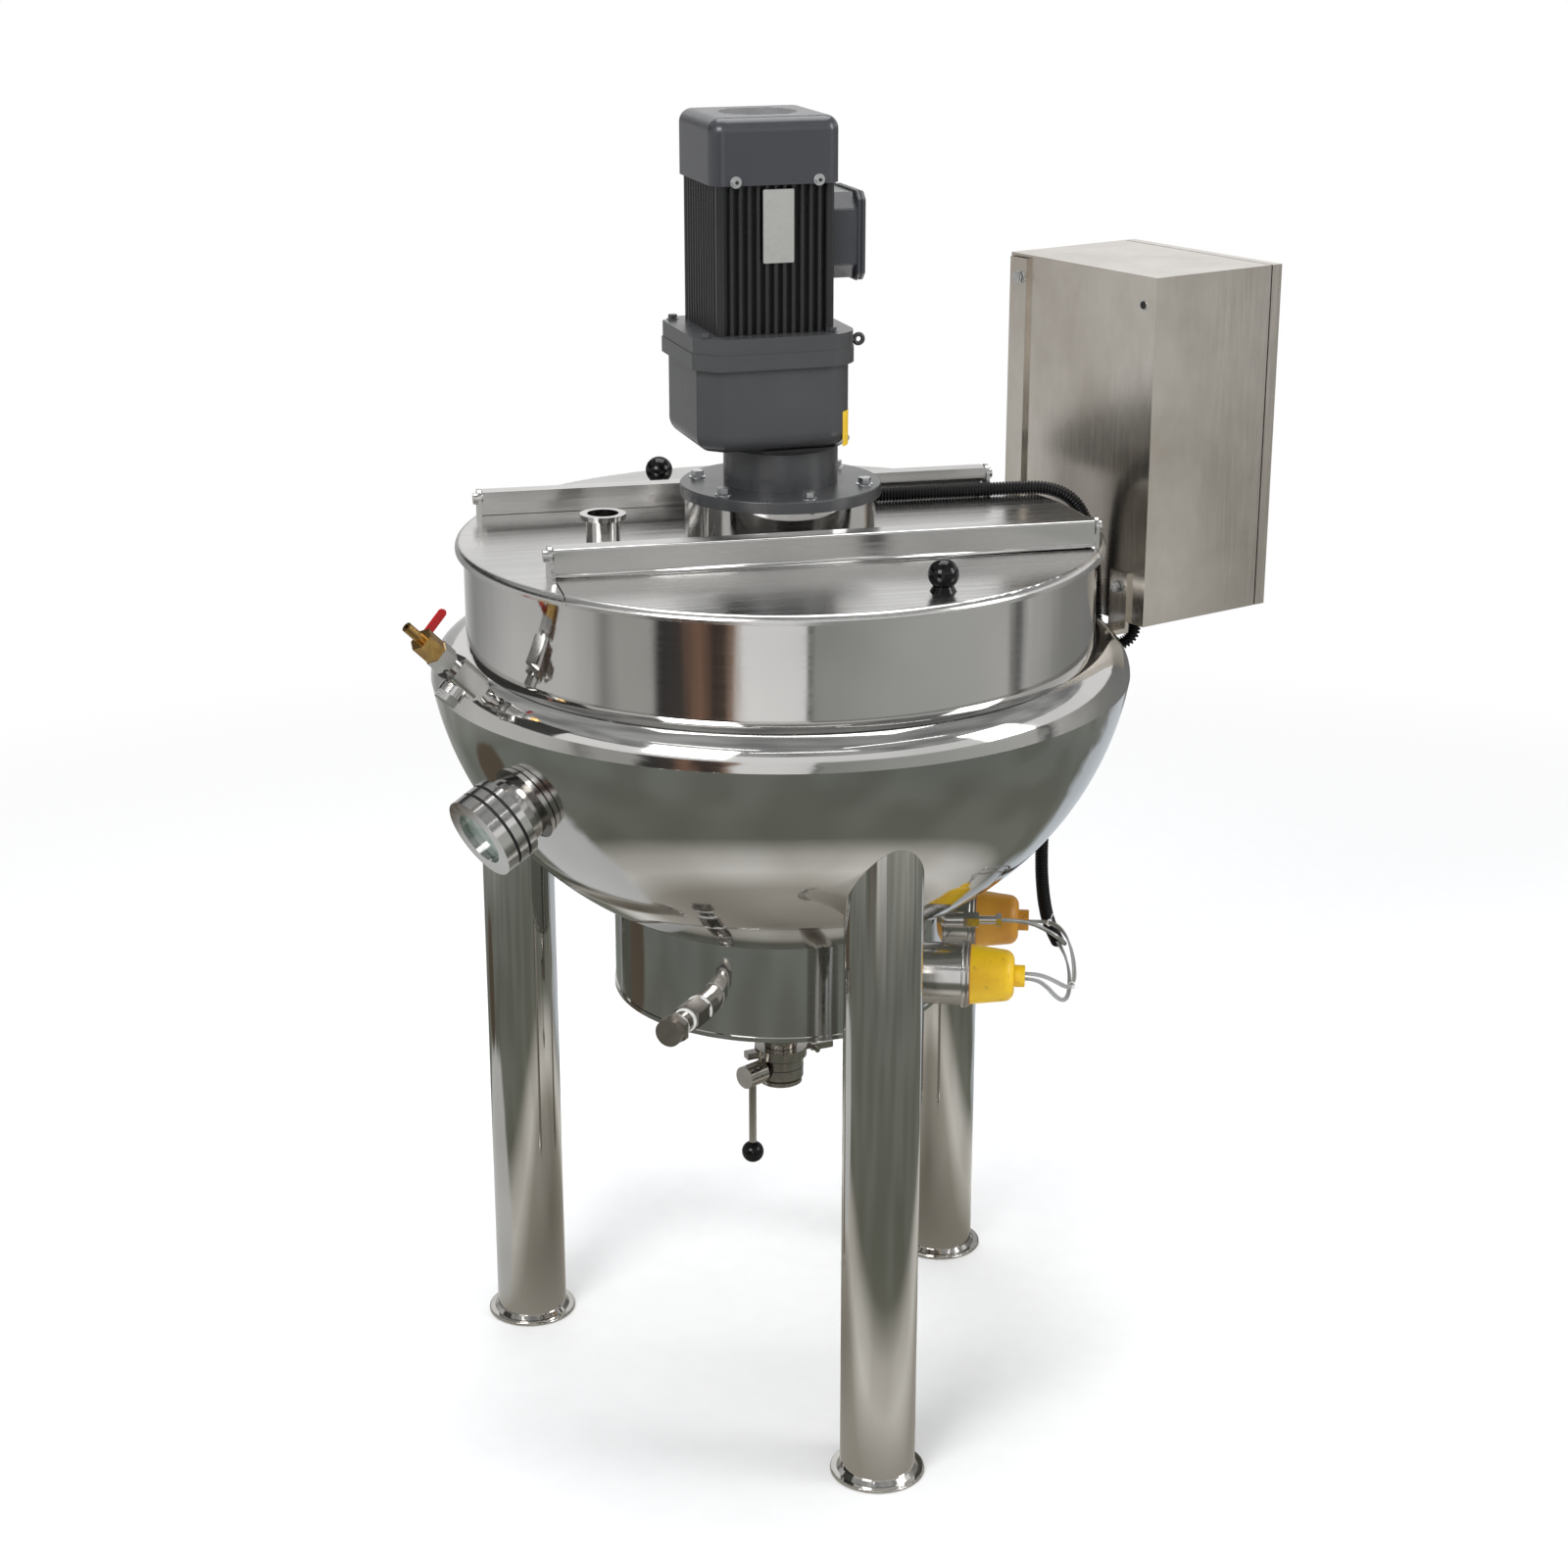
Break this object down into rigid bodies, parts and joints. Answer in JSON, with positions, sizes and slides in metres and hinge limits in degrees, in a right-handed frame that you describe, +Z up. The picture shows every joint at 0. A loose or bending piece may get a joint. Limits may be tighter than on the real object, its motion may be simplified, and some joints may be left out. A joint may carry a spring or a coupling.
{
  "type": "jacketed kettle",
  "caption": "Stirred, electrically heated jacketed kettle in polished stainless steel on tubular legs, with flip lids, gear motor, control cabinet and drain valve.",
  "frame": {"origin": "floor level, at the centre of the box round the object; the kettle's axis is 94 mm to the -X side of it", "axes": "+Z up, +X to the right along the lid's hinge bars, +Y to the back"},
  "size_m": [1.0644, 0.7834, 1.463],
  "materials": {
    "polished_steel": "mirror polished stainless",
    "tube_steel": "bright drawn tube",
    "cabinet_steel": "fine brushed",
    "motor_grey": "satin",
    "gear_grey": "satin",
    "cover_black": "satin",
    "black_knob": "gloss",
    "black_hose": "matte",
    "gasket_black": "matte",
    "sight_pane": "clear",
    "valve_brass": "satin",
    "lever_red": "gloss",
    "cap_yellow": "satin",
    "lead_grey": "matte"
  },
  "bodies": {
    "frame": {"jacket_bowl": "polished_steel", "jacket_shoulder": "polished_steel", "kettle_wall": "polished_steel", "inner_bowl": "polished_steel", "drum_wall": "polished_steel", "drum_bottom": "polished_steel", "legs": "tube_steel", "lid_bridge": "polished_steel", "lid_ferrule": "polished_steel", "hinge_supports": "polished_steel", "motor_stool": "polished_steel", "gearbox_flange": "gear_grey", "gearbox_housing": "gear_grey", "gearbox_cover": "gear_grey", "motor_body": "motor_grey", "fan_cover": "motor_grey", "terminal_box": "motor_grey", "stirrer": "polished_steel", "outlet_pipe": "polished_steel", "outlet_clamp": "polished_steel", "valve_body": "polished_steel", "sump_nipple": "tube_steel", "sump_cap": "tube_steel", "heater_tubes": "tube_steel", "heater_caps": "cap_yellow", "sight_rings": "polished_steel", "sight_gaskets": "gasket_black", "sight_glass": "sight_pane", "vent_fitting": "tube_steel", "vent_valve": "valve_brass", "cabinet_shell": "cabinet_steel", "cabinet_panel": "cabinet_steel", "cabinet_brackets": "polished_steel", "conduit_glands": "black_hose", "motor_conduit": "black_hose", "heater_conduit": "black_hose", "heater_leads": "lead_grey"},
    "front_lid": {"front_lid": "polished_steel", "front_knob": "black_knob"},
    "back_lid": {"back_lid": "polished_steel", "back_knob": "black_knob"},
    "drain_lever": {"valve_lever": "polished_steel", "valve_knob": "black_knob"},
    "vent_handle": {"vent_lever": "lever_red"},
    "door": {"cabinet_door": "cabinet_steel"}
  },
  "joints": [
    {"name": "front_lid_hinge", "type": "hinge", "parent": "frame", "child": "front_lid", "pos_m": [-0.075, -0.142, 1.028], "axis": [-1, 0, 0], "range_deg": [0, 95]},
    {"name": "back_lid_hinge", "type": "hinge", "parent": "frame", "child": "back_lid", "pos_m": [-0.113, 0.142, 1.028], "axis": [1, 0, 0], "range_deg": [0, 95]},
    {"name": "drain_lever_turn", "type": "hinge", "parent": "frame", "child": "drain_lever", "pos_m": [-0.094, 0, 0.362], "axis": [-0.848, -0.5299, 0], "range_deg": [0, 90]},
    {"name": "vent_lever_turn", "type": "hinge", "parent": "frame", "child": "vent_handle", "pos_m": [-0.51263, -0.15945, 0.94866], "axis": [0.3907, -0.9205, 0], "range_deg": [0, 90]},
    {"name": "cabinet_door_hinge", "type": "hinge", "parent": "frame", "child": "door", "pos_m": [0.4186, 0.35163, 1.061], "axis": [0, 0, 1], "range_deg": [0, 110]}
  ]
}
